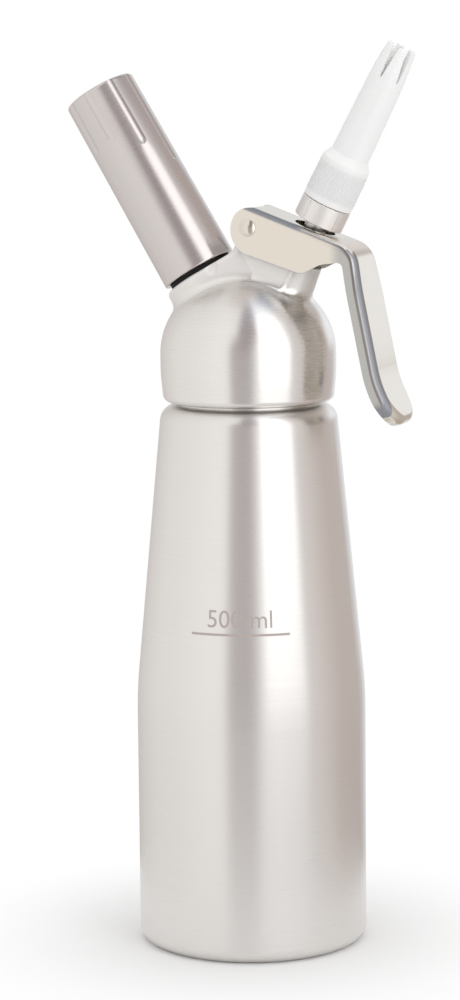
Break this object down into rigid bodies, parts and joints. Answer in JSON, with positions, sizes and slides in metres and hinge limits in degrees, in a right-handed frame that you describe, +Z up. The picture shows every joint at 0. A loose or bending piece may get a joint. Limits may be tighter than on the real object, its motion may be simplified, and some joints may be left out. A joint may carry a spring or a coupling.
{
  "type": "cream whipper",
  "caption": "Hand-held cream whipper: tapered aluminium bottle with a screw-on domed head, a slanted gas charger holder, a squeeze lever over a sprung valve and a slotted decorating tip",
  "frame": {"origin": "centre of the bottle's flat base ring, on the surface that it stands on", "axes": "+Z up the bottle's axis; the charger holder leans towards -X, the lever and the decorating tip lie towards +X; the XZ plane is the plane of symmetry"},
  "size_m": [0.1248, 0.08, 0.313],
  "materials": {
    "bottle_aluminium": "fine brushing round the body, satin",
    "head_aluminium": "fine brushing round the dome, satin",
    "holder_aluminium": "brushed, a little brighter than the bottle",
    "lever_nickel": "bright nickel plate",
    "adapter_nickel": "nickel plate over brass",
    "plated_brass": "nickel plate over brass",
    "stainless_steel": "turned, bright",
    "charger_steel": "bright drawn steel",
    "seal_rubber": "smooth food-grade rubber",
    "white_plastic": "white, semi-matt"
  },
  "bodies": {
    "bottle": {"bottle": "bottle_aluminium"},
    "neck_seal": {"head_gasket": "seal_rubber"},
    "head": {"head": "head_aluminium", "inlet_stud": "plated_brass", "stud_washer": "seal_rubber", "inlet_gasket": "seal_rubber", "piercing_pin": "stainless_steel", "check_spring": "stainless_steel", "check_retainer": "plated_brass", "valve_spring": "stainless_steel"},
    "charger": {"gas_charger": "charger_steel"},
    "holder": {"charger_holder": "holder_aluminium"},
    "check_valve": {"check_poppet": "seal_rubber"},
    "lever": {"lever": "lever_nickel", "pivot_pin": "stainless_steel"},
    "valve": {"valve_stem": "stainless_steel", "valve_seal": "seal_rubber", "stem_orings": "seal_rubber", "push_washer": "stainless_steel", "push_clip": "stainless_steel", "tip_adapter": "adapter_nickel"},
    "tip_ring": {"tip_seal": "seal_rubber"},
    "tip": {"decorating_tip": "white_plastic"}
  },
  "joints": [
    {"name": "head_lift", "type": "slide", "parent": "bottle", "child": "neck_seal", "axis": [0, 0, 1], "range_m": [0, 0.015]},
    {"name": "head_turn", "type": "hinge", "parent": "neck_seal", "child": "head", "pos_m": [0, 0, 0.2], "axis": [0, 0, 1], "range_deg": [0, 1080]},
    {"name": "charger_feed", "type": "slide", "parent": "head", "child": "charger", "axis": [-0.5105, 0, 0.8599], "range_m": [0, 0.01]},
    {"name": "holder_turn", "type": "hinge", "parent": "charger", "child": "holder", "pos_m": [0, 0, 0.2057], "axis": [-0.5105, 0, 0.8599], "range_deg": [0, 1440]},
    {"name": "check_lift", "type": "slide", "parent": "head", "child": "check_valve", "axis": [0.5105, 0, -0.8599], "range_m": [0, 0.0012], "stiffness_N_per_m": 200, "springref_m": -0.002, "deforming": ["check_spring"]},
    {"name": "lever_squeeze", "type": "hinge", "parent": "head", "child": "lever", "pos_m": [0.004, 0, 0.2505], "axis": [0, 1, 0], "range_deg": [0, 11], "stiffness_Nm_per_rad": 1.2, "springref_deg": -8.59},
    {"name": "valve_press", "type": "slide", "parent": "head", "child": "valve", "axis": [-0.4555, 0, -0.8902], "range_m": [0, 0.0035], "deforming": ["valve_spring"]},
    {"name": "tip_lift", "type": "slide", "parent": "valve", "child": "tip_ring", "axis": [0.4555, 0, 0.8902], "range_m": [0, 0.01]},
    {"name": "tip_turn", "type": "hinge", "parent": "tip_ring", "child": "tip", "pos_m": [0, 0, 0.2019], "axis": [0.4555, 0, 0.8902], "range_deg": [0, 1440]}
  ],
  "couplings": [
    {"joint": "head_turn", "follows": "head_lift", "rad_per_m": 1256.6},
    {"joint": "holder_turn", "follows": "charger_feed", "rad_per_m": 2513.3},
    {"joint": "valve_press", "follows": "lever_squeeze", "m_per_rad": 0.018178},
    {"joint": "tip_turn", "follows": "tip_lift", "rad_per_m": 2513.3}
  ]
}
